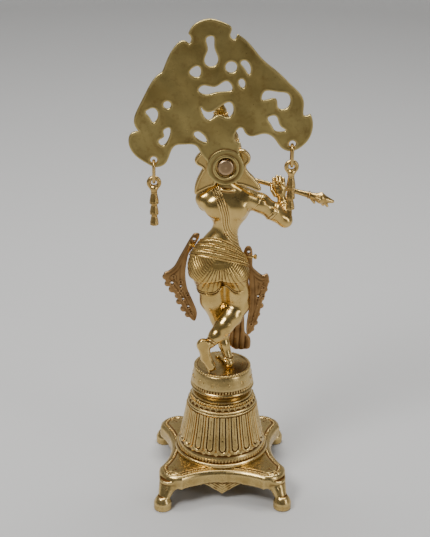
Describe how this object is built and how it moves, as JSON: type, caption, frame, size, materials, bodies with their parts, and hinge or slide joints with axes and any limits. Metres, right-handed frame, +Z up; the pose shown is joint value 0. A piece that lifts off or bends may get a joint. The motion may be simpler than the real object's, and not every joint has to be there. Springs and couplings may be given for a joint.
{
  "type": "brass flute player statue",
  "caption": "Cast brass standing flute player on a fluted bell pedestal with a four-legged stand, a pierced tree plate behind the head and two hanging pendants.",
  "frame": {"origin": "on the floor at the centre of the four foot pads, under the pedestal's axis", "axes": "+Z up, +Y the way the figure faces, +X the figure's own right-hand side (the flute's free end)"},
  "size_m": [0.1894, 0.14, 0.4619],
  "materials": {
    "pedestal_brass": "polished cast brass, brown in the engraved lines",
    "cast_brass": "polished cast brass",
    "dark_brass": "satin brass darkened to brown",
    "filed_brass": "filed and buffed satin brass, mottled",
    "trim_brass": "tumbled cast brass",
    "steel_fixings": "plain zinc-plated steel"
  },
  "bodies": {
    "statue": {"base_stand": "pedestal_brass", "pedestal_bell": "pedestal_brass", "seat_drum": "pedestal_brass", "tie_rod": "steel_fixings", "tie_washer": "steel_fixings", "tie_nut": "steel_fixings", "left_leg": "cast_brass", "right_leg": "cast_brass", "dhoti": "cast_brass", "waist_belt": "cast_brass", "torso": "cast_brass", "head": "cast_brass", "left_arm": "cast_brass", "right_arm": "cast_brass", "left_ear_flare": "cast_brass", "right_ear_flare": "cast_brass", "left_sash": "dark_brass", "right_sash": "dark_brass", "front_tail": "dark_brass", "sash_rivets": "cast_brass", "flute": "trim_brass", "tree_plate": "filed_brass", "tree_stud": "cast_brass", "tree_spacer": "cast_brass"},
    "left_link": {"left_link": "trim_brass"},
    "left_pendant": {"left_pendant": "trim_brass"},
    "right_link": {"right_link": "trim_brass"},
    "right_pendant": {"right_pendant": "trim_brass"}
  },
  "joints": [
    {"name": "left_link_swing", "type": "hinge", "parent": "statue", "child": "left_link", "pos_m": [-0.0639, -0.0196, 0.3352], "axis": [0, 1, 0], "range_deg": [-20, 40]},
    {"name": "left_pendant_swing", "type": "hinge", "parent": "left_link", "child": "left_pendant", "pos_m": [-0.0639, -0.0196, 0.32045], "axis": [1, 0, 0], "range_deg": [-35, 35]},
    {"name": "right_link_swing", "type": "hinge", "parent": "statue", "child": "right_link", "pos_m": [0.0585, -0.0196, 0.3505], "axis": [0, 1, 0], "range_deg": [-40, 20]},
    {"name": "right_pendant_swing", "type": "hinge", "parent": "right_link", "child": "right_pendant", "pos_m": [0.0585, -0.0196, 0.33575], "axis": [1, 0, 0], "range_deg": [-35, 15]}
  ]
}
